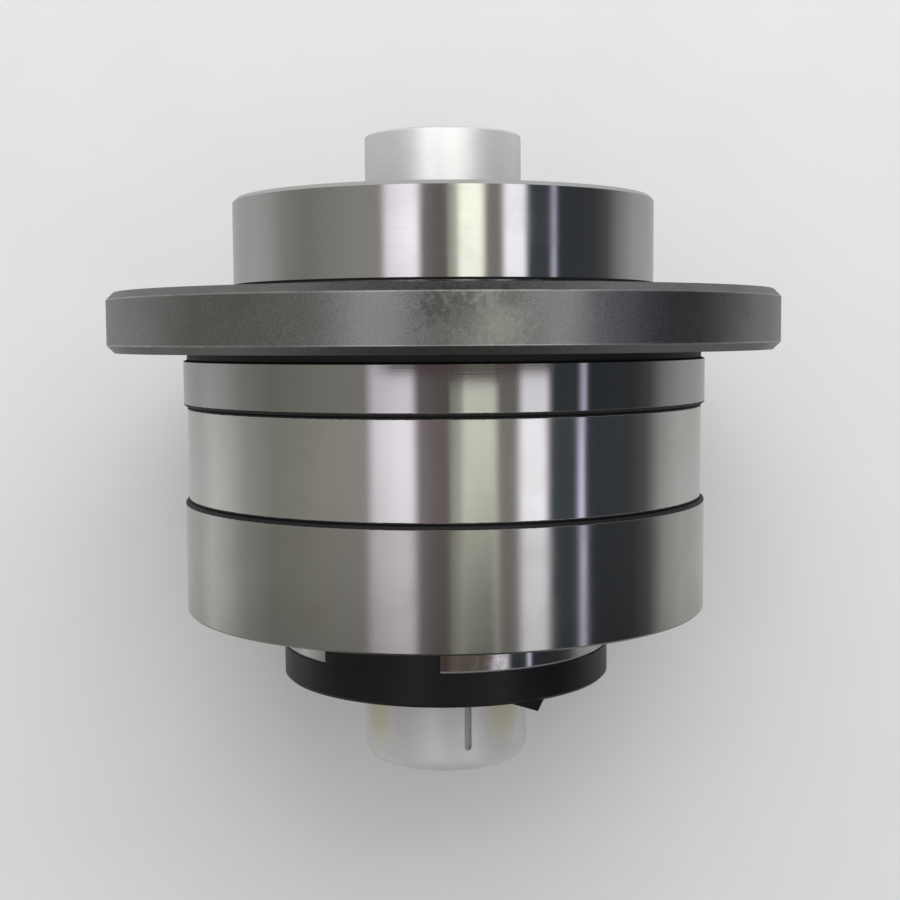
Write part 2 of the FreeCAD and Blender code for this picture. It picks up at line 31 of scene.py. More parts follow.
# %% [markdown]
# ## Sizes
# Worn corners, dirty joints and sawn ends have to sit where the pieces really end. Typed heights would go
# wrong as soon as the CAD model changes, so the radius, foot and top of each turned piece are read from the
# model, in millimetres. Heights count from the underside of the flange.

# %% Sizes


def turned_size(node):
    points = [vertex.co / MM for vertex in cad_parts[node].data.vertices]
    heights = [point.z for point in points]
    return max(point.x for point in points), min(heights), max(heights)


FLANGE_RADIUS, _, FLANGE_TOP = turned_size("flanged_outer_ring")
RING_RADIUS, RING_FOOT, LOWER_JOINT = turned_size("plain_outer_ring")
_, _, UPPER_JOINT = turned_size("outer_ring_spacer")
BOSS_RADIUS, NUT_FOOT, NUT_TOP = turned_size("ball_nut_body")
_, ARBOR_FOOT, ARBOR_TOP = turned_size("shipping_arbor")
FLANGE_CHAMFER = 1.0
RING_CHAMFER = 0.25
print("joints between the rings at", round(UPPER_JOINT, 2), "and", round(LOWER_JOINT, 2), "mm")

# %% [markdown]
# ## Camera
# The photograph was taken from close by, so the flange looks much wider than the boss behind it.
# A camera could be placed by eye, but perspective is only right at one distance. This one was worked out from
# the ellipses of the rings: it stands 201 mm from the axis, level with the flange, and looks down a little.
# Its three axes are built as vectors first, which keeps turn, tilt and roll apart and easy to change.

# %% Camera
VIEW_ANGLE = math.radians(-42.0)
VIEW_DISTANCE = 200.8 * MM
VIEW_HEIGHT = 2.31 * MM
VIEW_TILT = 0.0812
VIEW_TURN = math.radians(0.2125)
VIEW_ROLL = math.radians(-0.383)
LENS = 57.16
SENSOR_WIDTH = 36.0
NEAREST = 10 * MM

UP = Vector((0, 0, 1))
toward_camera = Vector((math.cos(VIEW_ANGLE), math.sin(VIEW_ANGLE), 0))
photo_right = UP.cross(toward_camera)


def make_camera():
    back = toward_camera * math.cos(VIEW_TILT) + UP * math.sin(VIEW_TILT)
    axes = Matrix((photo_right, back.cross(photo_right), back)).transposed()
    aim = axes @ Matrix.Rotation(-VIEW_TURN, 3, "Y") @ Matrix.Rotation(VIEW_ROLL, 3, "Z")
    place = toward_camera * VIEW_DISTANCE + UP * VIEW_HEIGHT
    data = bpy.data.cameras.new("photo_camera")
    data.lens = LENS
    data.sensor_width = SENSOR_WIDTH
    data.clip_start = NEAREST
    camera = bpy.data.objects.new("photo_camera", data)
    camera.matrix_world = Matrix.Translation(place) @ aim.to_4x4()
    bpy.context.scene.collection.objects.link(camera)
    bpy.context.scene.camera = camera
    print("camera at", [round(value, 4) for value in place])


make_camera()

# %% [markdown]
# ## Node helpers
# Materials are easier to read when adding a node takes one line. `feed` sets a socket to a number or links it
# to another socket, so the same call serves both. Masks run from 0 to 1: `rise` and `fall` make one from any
# value, `between` turns one into a range, and `tint` moves a colour towards another one where a mask is.

# %% Node helpers


def empty_tree(owner):
    owner.use_nodes = True
    owner.node_tree.nodes.clear()
    return owner.node_tree


def feed(tree, socket, value):
    if isinstance(value, bpy.types.NodeSocket):
        tree.links.new(value, socket)
    else:
        socket.default_value = value


def calculate(tree, operation, first, second=0.0, third=0.0):
    node = tree.nodes.new("ShaderNodeMath")
    node.operation = operation
    for socket, value in zip(node.inputs, (first, second, third)):
        feed(tree, socket, value)
    return node.outputs[0]


def length(tree, x, y):
    square = calculate(tree, "MULTIPLY_ADD", x, x, calculate(tree, "MULTIPLY", y, y))
    return calculate(tree, "SQRT", square)


def spread(tree, value, low, high, to_low, to_high, kind="LINEAR"):
    node = tree.nodes.new("ShaderNodeMapRange")
    node.interpolation_type = kind
    for socket, number in zip(node.inputs, (value, low, high, to_low, to_high)):
        feed(tree, socket, number)
    return node.outputs[0]


def rise(tree, value, start, end, kind="LINEAR"):
    return spread(tree, value, start, end, 0.0, 1.0, kind)


def fall(tree, value, start, end, kind="LINEAR"):
    return spread(tree, value, start, end, 1.0, 0.0, kind)


def between(tree, mask, low, high):
    return spread(tree, mask, 0.0, 1.0, low, high)


def inverse(tree, mask):
    return calculate(tree, "SUBTRACT", 1.0, mask)


def split(tree, vector):
    node = tree.nodes.new("ShaderNodeSeparateXYZ")
    feed(tree, node.inputs[0], vector)
    return node.outputs


def join(tree, x, y, z=0.0):
    node = tree.nodes.new("ShaderNodeCombineXYZ")
    for socket, value in zip(node.inputs, (x, y, z)):
        feed(tree, socket, value)
    return node.outputs[0]


def object_place(tree):
    return tree.nodes.new("ShaderNodeTexCoord").outputs["Object"]


def noise(tree, vector, scale, detail, dimensions="3D", w=0.0):
    node = tree.nodes.new("ShaderNodeTexNoise")
    node.noise_dimensions = dimensions
    feed(tree, node.inputs["Vector"], vector)
    if dimensions == "4D":
        feed(tree, node.inputs["W"], w)
    feed(tree, node.inputs["Scale"], scale)
    feed(tree, node.inputs["Detail"], detail)
    return node.outputs["Fac"]


def mix_colour(tree, share, first, second):
    """The Mix node has sockets for every kind of data. These are the ones for colours."""
    node = tree.nodes.new("ShaderNodeMix")
    node.data_type = "RGBA"
    feed(tree, node.inputs[0], share)
    feed(tree, node.inputs[6], first)
    feed(tree, node.inputs[7], second)
    return node.outputs[2]


def tint(tree, colour, mask, amount, toward):
    return mix_colour(tree, calculate(tree, "MULTIPLY", mask, amount), colour, toward)


def mix_shaders(tree, share, first, second):
    node = tree.nodes.new("ShaderNodeMixShader")
    for socket, value in zip(node.inputs, (share, first, second)):
        feed(tree, socket, value)
    return node.outputs[0]


def grey(level, warm=0.0):
    return (level * (1 + warm), level, level * (1 - warm), 1.0)


# %% [markdown]
# ## Paper
# The nut lies on a sheet of pale paper, and the camera looks down on it. In the frame of the part, where the
# axis stands up, that paper is a plane behind the nut. It leans, because the nut rests on the rim of the
# flange and on the foot of the smaller ring. A grid with a faint mottle is enough.
# The sheet takes the shadow. It is hidden from other rays and from the back, so it doesn't darken the far
# side of the nut when the camera goes round.

# %% Paper
PAPER_SIZE = 2.4
PAPER_SEGMENTS = 8
PAPER_GAP = 0.2
PAPER_DARK = (0.715, 0.722, 0.716, 1)
PAPER_LIGHT = (0.755, 0.762, 0.756, 1)
FIBRE_SCALE = 55.0
FIBRE_DETAIL = 4.0


def paper_finish():
    material = bpy.data.materials.new("pale_paper")
    tree = empty_tree(material)
    fibre = noise(tree, object_place(tree), FIBRE_SCALE, FIBRE_DETAIL)
    sheet = tree.nodes.new("ShaderNodeBsdfDiffuse")
    feed(tree, sheet.inputs["Color"], mix_colour(tree, fibre, PAPER_DARK, PAPER_LIGHT))
    clear = tree.nodes.new("ShaderNodeBsdfTransparent")
    from_behind = tree.nodes.new("ShaderNodeNewGeometry").outputs["Backfacing"]
    output = tree.nodes.new("ShaderNodeOutputMaterial")
    feed(tree, output.inputs["Surface"], mix_shaders(tree, from_behind, sheet.outputs[0], clear.outputs[0]))
    return material


def make_paper():
    rim = (UP * FLANGE_CHAMFER - toward_camera * (FLANGE_RADIUS + PAPER_GAP)) * MM
    foot = (UP * (RING_FOOT + RING_CHAMFER) - toward_camera * (RING_RADIUS + PAPER_GAP)) * MM
    along = (rim - foot).normalized()
    normal = photo_right.cross(along)
    axes = Matrix((photo_right, along, normal)).transposed()
    mesh = bmesh.new()
    bmesh.ops.create_grid(mesh, x_segments=PAPER_SEGMENTS, y_segments=PAPER_SEGMENTS, size=PAPER_SIZE / 2)
    bmesh.ops.transform(mesh, matrix=Matrix.Translation(rim) @ axes.to_4x4(), verts=mesh.verts)
    data = bpy.data.meshes.new("paper")
    mesh.to_mesh(data)
    mesh.free()
    data.materials.append(paper_finish())
    paper = bpy.data.objects.new("paper", data)
    bpy.context.scene.collection.objects.link(paper)
    paper.visible_diffuse = False
    paper.visible_glossy = False
    paper.visible_shadow = False
    lean = math.degrees(math.asin(normal.z))
    print("paper leans", round(lean, 1), "degrees, faces the camera:", normal.dot(toward_camera) > 0)


make_paper()

# %% [markdown]
# ## What the steel sees
# Polished metal has little colour of its own: it shows its surroundings. The photograph's rings show upright
# bands, which are ceiling tubes and the gaps between them. They could be painted on the rings, but would
# then stay put when the camera moves. So the bands are on a round tent about the nut instead, which only
# mirror rays see. Its wall is spun from one line and its colours are a ramp over the angle about the axis.
# Each stop also says how much of its band is left at the low end, where some tubes fade sooner and the walls
# get lighter. That share is the stop's alpha. Further down the whole wall dims, because there the real room
# shows its floor. The tubes hang in rows, and the dark gap from one row to the next shows under the flange.

# %% Reflection tent
TENT_RADIUS = 0.6
TENT_HALF_HEIGHT = 0.7
TENT_SEGMENTS = 96
TENT_BANDS = (
    (-180, (0.44, 0.45, 0.44), 1.0),
    (-131, (0.375, 0.383, 0.375), 1.25),
    (-117, (0.375, 0.38, 0.375), 1.75),
    (-104, (0.35, 0.353, 0.345), 1.45),
    (-92, (0.255, 0.255, 0.24), 1.28),
    (-75, (0.205, 0.205, 0.184), 1.12),
    (-45, (0.275, 0.27, 0.243), 1.0),
    (-32, (0.29, 0.28, 0.265), 1.0),
    (-28, (0.98, 0.93, 1.02), 0.58),
    (-18, (1.25, 1.20, 1.30), 0.58),
    (-13.6, (1.25, 1.20, 1.30), 0.58),
    (-10.6, (0.21, 0.180, 0.195), 1.0),
    (-2, (0.145, 0.125, 0.122), 1.0),
    (1.5, (0.145, 0.128, 0.122), 1.0),
    (3, (0.40, 0.41, 0.36), 0.72),
    (6.5, (0.50, 0.51, 0.44), 0.66),
    (8.5, (1.36, 1.39, 1.21), 0.12),
    (19, (1.36, 1.39, 1.21), 0.04),
    (21.8, (0.23, 0.22, 0.20), 1.0),
    (29, (0.21, 0.20, 0.20), 1.0),
    (32, (1.20, 1.18, 1.27), 0.88),
    (41, (1.20, 1.18, 1.27), 0.88),
    (44, (0.050, 0.060, 0.068), 1.0),
    (55.8, (0.048, 0.058, 0.066), 1.0),
    (57.0, (0.43, 0.414, 0.53), 2.0),
    (59.4, (0.43, 0.414, 0.53), 2.0),
    (60.6, (0.036, 0.042, 0.050), 1.0),
    (84, (0.045, 0.048, 0.052), 1.0),
    (94, (0.08, 0.083, 0.08), 1.15),
    (104, (0.21, 0.217, 0.21), 1.7),
    (120, (0.35, 0.358, 0.35), 1.4),
    (180, (0.44, 0.45, 0.44), 1.0),
)
TUBE_TOP = 0.07
TUBE_FOOT = -0.155
TUBE_FADE = 1.3
FLOOR_EDGE = -0.125
FLOOR_DEEP = -0.20
FLOOR_SHARE = 0.48
GAP_HEIGHT = -0.009
GAP_HALF_HEIGHT = 0.009
GAP_BLUR = 0.001
GAP_TONE = (0.10, 0.078, 0.074, 1.0)
ROW_START = math.radians(-32.0)
ROW_FULL = math.radians(-20.0)
ROW_END = math.radians(44.0)
LOW_TUBE = math.radians(12.0)
LOW_TUBE_HALF = math.radians(10.0)
LOW_TUBE_DROP = 0.0044
END_DARK = 0.08
END_DARK_RADIUS = 0.15
END_LIGHT = 0.45
END_LIGHT_RADIUS = 0.50


def make_glow(tree, colour, strength):
    glow = tree.nodes.new("ShaderNodeEmission")
    feed(tree, glow.inputs["Color"], colour)
    feed(tree, glow.inputs["Strength"], strength)
    output = tree.nodes.new("ShaderNodeOutputMaterial")
    feed(tree, output.inputs["Surface"], glow.outputs[0])


def band_ramp(tree, angle):
    ramp = tree.nodes.new("ShaderNodeValToRGB")
    feed(tree, ramp.inputs["Fac"], rise(tree, angle, -math.pi, math.pi))
    stops = ramp.color_ramp.elements
    stops.remove(stops[1])
    for number, (degrees, colour, kept) in enumerate(TENT_BANDS):
        place = (degrees + 180) / 360
        stop = stops[0] if number == 0 else stops.new(place)
        stop.position = place
        stop.color = (*colour, kept)
    return ramp.outputs["Color"], ramp.outputs["Alpha"]


def row_gap(tree, angle, height):
    before_end = calculate(tree, "LESS_THAN", angle, ROW_END)
    in_row = calculate(tree, "MULTIPLY", rise(tree, angle, ROW_START, ROW_FULL), before_end)
    lower = calculate(tree, "COMPARE", angle, LOW_TUBE, LOW_TUBE_HALF)
    raised = calculate(tree, "MULTIPLY_ADD", lower, LOW_TUBE_DROP, height)
    from_gap = calculate(tree, "ABSOLUTE", calculate(tree, "SUBTRACT", raised, GAP_HEIGHT))
    gap = fall(tree, from_gap, GAP_HALF_HEIGHT - GAP_BLUR, GAP_HALF_HEIGHT + GAP_BLUR)
    return calculate(tree, "MULTIPLY", gap, in_row)


def tent_finish():
    material = bpy.data.materials.new("tent_cloth")
    tree = empty_tree(material)
    turned = tree.nodes.new("ShaderNodeVectorRotate")
    turned.rotation_type = "Z_AXIS"
    feed(tree, turned.inputs["Vector"], object_place(tree))
    feed(tree, turned.inputs["Angle"], -VIEW_ANGLE)
    x, y, z = split(tree, turned.outputs[0])
    angle = calculate(tree, "ARCTAN2", y, x)
    colour, kept = band_ramp(tree, angle)
    low = calculate(tree, "POWER", rise(tree, z, TUBE_TOP, TUBE_FOOT), TUBE_FADE)
    lost = calculate(tree, "MULTIPLY", inverse(tree, kept), low)
    near_floor = spread(tree, z, FLOOR_EDGE, FLOOR_DEEP, 1.0, FLOOR_SHARE)
    level = calculate(tree, "MULTIPLY", inverse(tree, lost), near_floor)
    make_glow(tree, mix_colour(tree, row_gap(tree, angle, z), colour, GAP_TONE), level)
    return material


def tent_end_finish():
    material = bpy.data.materials.new("tent_ends")
    tree = empty_tree(material)
    x, y, z = split(tree, object_place(tree))
    outward = length(tree, x, y)
    tone = spread(tree, outward, END_DARK_RADIUS, END_LIGHT_RADIUS, END_DARK, END_LIGHT, "SMOOTHSTEP")
    make_glow(tree, tone, spread(tree, z, -TENT_HALF_HEIGHT, TENT_HALF_HEIGHT, FLOOR_SHARE, 1.0))
    return material


def make_tent():
    mesh = bmesh.new()
    foot = mesh.verts.new((TENT_RADIUS, 0, -TENT_HALF_HEIGHT))
    head = mesh.verts.new((TENT_RADIUS, 0, TENT_HALF_HEIGHT))
    line = mesh.edges.new((foot, head))
    bmesh.ops.spin(
        mesh,
        geom=[foot, head, line],
        axis=UP,
        cent=(0, 0, 0),
        angle=2 * math.pi,
        steps=TENT_SEGMENTS,
        use_merge=True,
    )
    ends = [edge for edge in mesh.edges if edge.is_boundary]
    for face in bmesh.ops.holes_fill(mesh, edges=ends, sides=TENT_SEGMENTS)["faces"]:
        face.material_index = 1
    data = bpy.data.meshes.new("reflection_tent")
    mesh.to_mesh(data)
    mesh.free()
    data.materials.append(tent_finish())
    data.materials.append(tent_end_finish())
    tent = bpy.data.objects.new("reflection_tent", data)
    bpy.context.scene.collection.objects.link(tent)
    tent.visible_camera = False
    tent.visible_diffuse = False
    tent.visible_shadow = False
    tent.visible_transmission = False
    print("tent faces:", len(data.polygons))


make_tent()

# %% [markdown]
# ## Light
# The paper is brightest at the top and the shadow falls to the foot, so the main light is a large soft one
# above the camera's side of the nut, a little to the right. A second, weaker one behind keeps the far side
# readable in other views. Both are hidden from mirror rays, which see the tent. A third light above the
# camera does the opposite: only mirror rays see it, and it puts the soft bright stripe on the satin arbor.
# Light linking keeps it off the other pieces, where it would show as a white patch.
# The world fills in the rest. Seen straight or in a mirror it is as pale as the paper.

# %% Lights and world
WHITE = (1.0, 1.0, 1.0)
MAIN_TONE = (0.97, 1.0, 0.975)
FILL_TONE = (0.722, 0.704, 0.708, 1)
ROOM_TONE = (0.70, 0.71, 0.705, 1)


def softbox(name, place, width, height, power, colour):
    data = bpy.data.lights.new(name, "AREA")
    data.shape = "RECTANGLE"
    data.size = width
    data.size_y = height
    data.energy = power
    data.color = colour
    lamp = bpy.data.objects.new(name, data)
    lamp.matrix_world = Matrix.Translation(place) @ place.to_track_quat("Z", "Y").to_matrix().to_4x4()
    bpy.context.scene.collection.objects.link(lamp)
    lamp.visible_glossy = False
    return lamp


def make_lights():
    softbox(
        "overhead_softbox",
        place=toward_camera * 0.25 + photo_right * 0.045 + UP * 0.34,
        width=0.50,
        height=0.50,
        power=1.27,
        colour=MAIN_TONE,
    )
    softbox(
        "rear_softbox",
        place=-toward_camera * 0.45 - photo_right * 0.2 + UP * 0.4,
        width=0.35,
        height=0.35,
        power=1.2,
        colour=WHITE,
    )
    highlight = softbox(
        "highlight_softbox",
        place=toward_camera * 0.45 + UP * 0.24,
        width=0.72,
        height=0.30,
        power=1.15,
        colour=WHITE,
    )
    highlight.visible_glossy = True
    highlight.visible_diffuse = False
    lit_by_highlight = bpy.data.collections.new("lit_by_highlight")
    lit_by_highlight.objects.link(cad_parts["shipping_arbor"])
    highlight.light_linking.receiver_collection = lit_by_highlight


def make_world():
    world = bpy.data.worlds.new("studio")
    bpy.context.scene.world = world
    tree = empty_tree(world)
    path = tree.nodes.new("ShaderNodeLightPath").outputs
    seen = calculate(tree, "MAXIMUM", path["Is Camera Ray"], path["Is Glossy Ray"])
    seen = calculate(tree, "MAXIMUM", seen, path["Is Transmission Ray"])
    fill = tree.nodes.new("ShaderNodeBackground")
    fill.inputs["Color"].default_value = FILL_TONE
    room = tree.nodes.new("ShaderNodeBackground")
    room.inputs["Color"].default_value = ROOM_TONE
    output = tree.nodes.new("ShaderNodeOutputWorld")
    feed(tree, output.inputs["Surface"], mix_shaders(tree, seen, fill.outputs[0], room.outputs[0]))


make_lights()
make_world()
bpy.context.scene.view_settings.view_transform = "Standard"

# %% [markdown]
# ## Shared effects
# Nearly every piece was turned or ground while it spun, so its marks run round the axis. A noise that reads
# plain coordinates would give blotches. `lathe_position` turns the Object coordinates into radius, height and
# heading. The heading stays a cosine and a sine, so no seam shows where the angle jumps from 180 to -180.
# Each effect is one node group with its own inputs, so a material only gives it values. Noise seldom comes
# near 0 or 1, so each effect spreads the range of it that it needs.

# %% Shared effects
SMALLEST_RADIUS = 0.001
NOISE_RANGE = (0.3, 0.7)
LINES_RANGE = (0.25, 0.75)
CLOUDS_RANGE = (0.40, 0.70)
WEAR_RANGE = (0.30, 0.60)
WEAR_LEAST = 0.45
WEAR_EDGE = (0.4, 1.0)
DIRT_EDGE = (0.88, 1.04)
DIRT_RAGGED = 0.06
SPOT_EDGE = (0.3, 1.1)


def lathe_position(tree):
    scaled = tree.nodes.new("ShaderNodeVectorMath")
    scaled.operation = "SCALE"
    feed(tree, scaled.inputs[0], object_place(tree))
    scaled.inputs["Scale"].default_value = 1 / MM
    x, y, z = split(tree, scaled.outputs[0])
    radius = calculate(tree, "MAXIMUM", length(tree, x, y), SMALLEST_RADIUS)
    cosine = calculate(tree, "DIVIDE", x, radius)
    sine = calculate(tree, "DIVIDE", y, radius)
    return scaled.outputs[0], radius, z, cosine, sine


def new_group(name, inputs, outputs):
    tree = bpy.data.node_groups.new(name, "ShaderNodeTree")
    for label, value in inputs.items():
        socket = tree.interface.new_socket(label, in_out="INPUT", socket_type="NodeSocketFloat")
        socket.default_value = value
    for label in outputs:
        tree.interface.new_socket(label, in_out="OUTPUT", socket_type="NodeSocketFloat")
    return tree, tree.nodes.new("NodeGroupInput").outputs, tree.nodes.new("NodeGroupOutput").inputs


def place_group(tree, group, **values):
    node = tree.nodes.new("ShaderNodeGroup")
    node.node_tree = group
    for label, value in values.items():
        feed(tree, node.inputs[label], value)
    return node.outputs


def lathe_lines_group():
    """Fine lines round the axis. Fineness is lines per millimetre, Wander how soon a line ends."""
    tree, given, out = new_group("lathe_lines", {"Fineness": 6.0, "Wander": 1.0}, ["Lines"])
    _, radius, height, cosine, sine = lathe_position(tree)
    across = calculate(tree, "MULTIPLY", radius, given["Fineness"])
    along = calculate(tree, "MULTIPLY", height, given["Fineness"])
    vector = join(tree, across, along, calculate(tree, "MULTIPLY", cosine, given["Wander"]))
    around = calculate(tree, "MULTIPLY", sine, given["Wander"])
    lines = noise(tree, vector, scale=1.0, detail=3.0, dimensions="4D", w=around)
    feed(tree, out["Lines"], rise(tree, lines, *LINES_RANGE))
    return tree


def handling_marks_group():
    """Cloudy patches where hands, oil and cloths have been. Size is in millimetres."""
    tree, given, out = new_group("handling_marks", {"Size": 8.0}, ["Marks"])
    place, *_ = lathe_position(tree)
    clouds = noise(tree, place, scale=calculate(tree, "DIVIDE", 1.0, given["Size"]), detail=5.0)
    feed(tree, out["Marks"], rise(tree, clouds, *CLOUDS_RANGE, "SMOOTHSTEP"))
    return tree


def worn_corner_group():
    """A thin line along a round corner, given by its radius and height in millimetres, with gaps in it."""
    tree, given, out = new_group("worn_corner", {"Radius": 10.0, "Height": 0.0, "Width": 0.2}, ["Wear"])
    place, radius, height, *_ = lathe_position(tree)
    aside = calculate(tree, "SUBTRACT", radius, given["Radius"])
    above = calculate(tree, "SUBTRACT", height, given["Height"])
    distance = calculate(tree, "DIVIDE", length(tree, aside, above), given["Width"])
    gaps = spread(tree, noise(tree, place, scale=0.5, detail=4.0), *WEAR_RANGE, WEAR_LEAST, 1.0)
    near = fall(tree, distance, *WEAR_EDGE, "SMOOTHSTEP")
    feed(tree, out["Wear"], calculate(tree, "MULTIPLY", near, gaps))
    return tree


def joint_dirt_group():
    """Oil and dust that fill the joint at one height. Reach is how far they go each way, in millimetres."""
    tree, given, out = new_group("joint_dirt", {"Height": 0.0, "Reach": 0.5}, ["Dirt"])
    place, _, height, *_ = lathe_position(tree)
    away = calculate(tree, "ABSOLUTE", calculate(tree, "SUBTRACT", height, given["Height"]))
    ragged = noise(tree, place, scale=1.6, detail=3.0)
    ragged = spread(tree, ragged, *NOISE_RANGE, -DIRT_RAGGED, DIRT_RAGGED)
    share = calculate(tree, "ADD", calculate(tree, "DIVIDE", away, given["Reach"]), ragged)
    feed(tree, out["Dirt"], fall(tree, share, *DIRT_EDGE, "SMOOTHSTEP"))
    return tree


def soft_spot_group():
    """One blurred mark round a place on the surface, in millimetres. Ragged is how uneven its edge is."""
    inputs = {"X": 0.0, "Y": 0.0, "Z": 0.0, "Width": 3.0, "Tall": 1.0, "Ragged": 0.5}
    tree, given, out = new_group("soft_spot", inputs, ["Spot"])
    place, *_ = lathe_position(tree)
    x, y, z = split(tree, place)
    aside = calculate(tree, "SUBTRACT", x, given["X"])
    across = calculate(tree, "SUBTRACT", y, given["Y"])
    above = calculate(tree, "SUBTRACT", z, given["Z"])
    level = calculate(tree, "DIVIDE", length(tree, aside, across), given["Width"])
    upright = calculate(tree, "DIVIDE", above, given["Tall"])
    uneven = spread(tree, noise(tree, place, scale=1.3, detail=8.0), *NOISE_RANGE, -1.0, 1.0)
    edge = calculate(tree, "MULTIPLY_ADD", uneven, given["Ragged"], length(tree, level, upright))
    feed(tree, out["Spot"], fall(tree, edge, *SPOT_EDGE, "SMOOTHSTEP"))
    return tree


def grain_group():
    """Fine speckle, as on moulded or oxidised surfaces. Fineness is grains per millimetre."""
    tree, given, out = new_group("fine_grain", {"Fineness": 4.0}, ["Grain"])
    place, *_ = lathe_position(tree)
    feed(tree, out["Grain"], noise(tree, place, scale=given["Fineness"], detail=2.0))
    return tree


lathe_lines = lathe_lines_group()
handling_marks = handling_marks_group()
worn_corner = worn_corner_group()
joint_dirt = joint_dirt_group()
soft_spot = soft_spot_group()
fine_grain = grain_group()
print("shared effects:", [group.name for group in bpy.data.node_groups])

# %% [markdown]
# ## Starting a finish
# Every finish ends in one Principled shader. Real corners are never knife-sharp, and the thin bright line on
# a corner is what tells the eye that a thing is metal. The Bevel node rounds the normals there as the picture
# is made, so the CAD shapes stay as they are. The bump of each finish then starts from those normals.
# A CAD mesh also has a seam, where each round wall closes, and its normals lean there by a degree or two. A
# mirror shows that as a sharp step. `true_wall` mends it: where a normal already points nearly straight out
# from the axis, as on every turned wall, it is made to point exactly so.

# %% Finish helpers
WALL_LOOSE = math.cos(math.radians(5.0))
WALL_TIGHT = math.cos(math.radians(2.5))
CORNER_SAMPLES = 4
QUARTER_TURN = 0.25


def new_finish(name):
    material = bpy.data.materials.new(name)
    material.use_nodes = True
    return material, material.node_tree, material.node_tree.nodes["Principled BSDF"]


def spot(tree, place, width, tall, ragged):
    x, y, z = place
    return place_group(tree, soft_spot, X=x, Y=y, Z=z, Width=width, Tall=tall, Ragged=ragged)["Spot"]


def true_wall(tree, normal):
    *_, cosine, sine = lathe_position(tree)
    outward = tree.nodes.new("ShaderNodeVectorTransform")
    outward.vector_type = "NORMAL"
    outward.convert_from = "OBJECT"
    outward.convert_to = "WORLD"
    feed(tree, outward.inputs[0], join(tree, cosine, sine))
    agree = tree.nodes.new("ShaderNodeVectorMath")
    agree.operation = "DOT_PRODUCT"
    feed(tree, agree.inputs[0], normal)
    feed(tree, agree.inputs[1], outward.outputs[0])
    mended = tree.nodes.new("ShaderNodeMix")
    mended.data_type = "VECTOR"
    feed(tree, mended.inputs[0], rise(tree, agree.outputs["Value"], WALL_LOOSE, WALL_TIGHT))
    feed(tree, mended.inputs[4], normal)
    feed(tree, mended.inputs[5], outward.outputs[0])
    return mended.outputs[1]


def set_relief(tree, shader, corner, height, depth):
    """Corner is the radius of the rounded edges and depth that of the bump, in millimetres."""
    rounded = tree.nodes.new("ShaderNodeBevel")
    rounded.samples = CORNER_SAMPLES
    rounded.inputs["Radius"].default_value = corner * MM
    bump = tree.nodes.new("ShaderNodeBump")
    bump.inputs["Strength"].default_value = 1.0
    bump.inputs["Distance"].default_value = depth * MM
    feed(tree, bump.inputs["Height"], height)
    feed(tree, bump.inputs["Normal"], true_wall(tree, rounded.outputs[0]))
    feed(tree, shader.inputs["Normal"], bump.outputs[0])


def set_roughness(tree, shader, rough, *rougher):
    """Each further pair is a mask and the roughness that it adds."""
    for mask, amount in rougher:
        rough = calculate(tree, "MULTIPLY_ADD", mask, amount, rough)
    feed(tree, shader.inputs["Roughness"], rough)


def set_grinding_direction(tree, shader, amount):
    """Stretches highlights across the grinding lines, so bands stay sharp at their sides."""
    shader.inputs["Anisotropic"].default_value = amount
    shader.inputs["Anisotropic Rotation"].default_value = QUARTER_TURN
    around = tree.nodes.new("ShaderNodeTangent")
    around.direction_type = "RADIAL"
    around.axis = "Z"
    feed(tree, shader.inputs["Tangent"], around.outputs[0])


def dress(finish, *nodes):
    for node in nodes:
        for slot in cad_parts[node].material_slots:
            slot.material = finish
    print(finish.name, "on", ", ".join(nodes))


# %% [markdown]
# ## Ground steel
# Spacer and plain ring are ground to size. The wheel leaves lines finer than a hair, too faint to see one by
# one, which stretch every reflection along the axis. The colour is nearly the same all over, the lines move
# tone and roughness a little, and cloudy marks keep large faces from looking new from the box. Oil and dust
# darken the joints between the rings.

# %% Ground steel
JOINT_REACH = 0.42
# Dark tone of the dirt in the joints; the flange also uses it for painted shade in its undercut.
DIRT_AND_SHADE_TONE = (0.014, 0.015, 0.015, 1.0)
DIRT_ROUGHER = 0.5
LINE_WANDER = 2.0
LINE_DEPTH = 0.0003
LINE_DARK = 0.97
LINE_LIGHT = 1.02
LINE_SMOOTH = 0.9
LINE_ROUGH = 1.1
FILM_SHARES = (0.90, 0.885, 0.84)
FILM_AMOUNT = 0.35
FILM_ROUGHER = 0.04


def dirty_joints(tree, heights):
    dirt = 0.0
    for height in heights:
        here = place_group(tree, joint_dirt, Height=height, Reach=JOINT_REACH)["Dirt"]
        dirt = calculate(tree, "MAXIMUM", dirt, here)
    return dirt


def ground_steel(name, colour, roughness, anisotropy, fineness, marks_size, joints):
    finish, tree, shader = new_finish(name)
    lines = place_group(tree, lathe_lines, Fineness=fineness, Wander=LINE_WANDER)["Lines"]
    marks = place_group(tree, handling_marks, Size=marks_size)["Marks"]
    dirt = dirty_joints(tree, joints)
    dark = tuple(channel * LINE_DARK for channel in colour) + (1.0,)
    light = tuple(channel * LINE_LIGHT for channel in colour) + (1.0,)
    film = tuple(channel * share for channel, share in zip(colour, FILM_SHARES)) + (1.0,)
    tone = tint(tree, mix_colour(tree, lines, dark, light), marks, FILM_AMOUNT, film)
    feed(tree, shader.inputs["Base Color"], mix_colour(tree, dirt, tone, DIRT_AND_SHADE_TONE))
    feed(tree, shader.inputs["Metallic"], inverse(tree, dirt))
    rough = between(tree, lines, roughness * LINE_SMOOTH, roughness * LINE_ROUGH)
    set_roughness(tree, shader, rough, (marks, FILM_ROUGHER), (dirt, DIRT_ROUGHER))
    set_grinding_direction(tree, shader, anisotropy)
    set_relief(tree, shader, corner=0.06, height=lines, depth=LINE_DEPTH)
    return finish


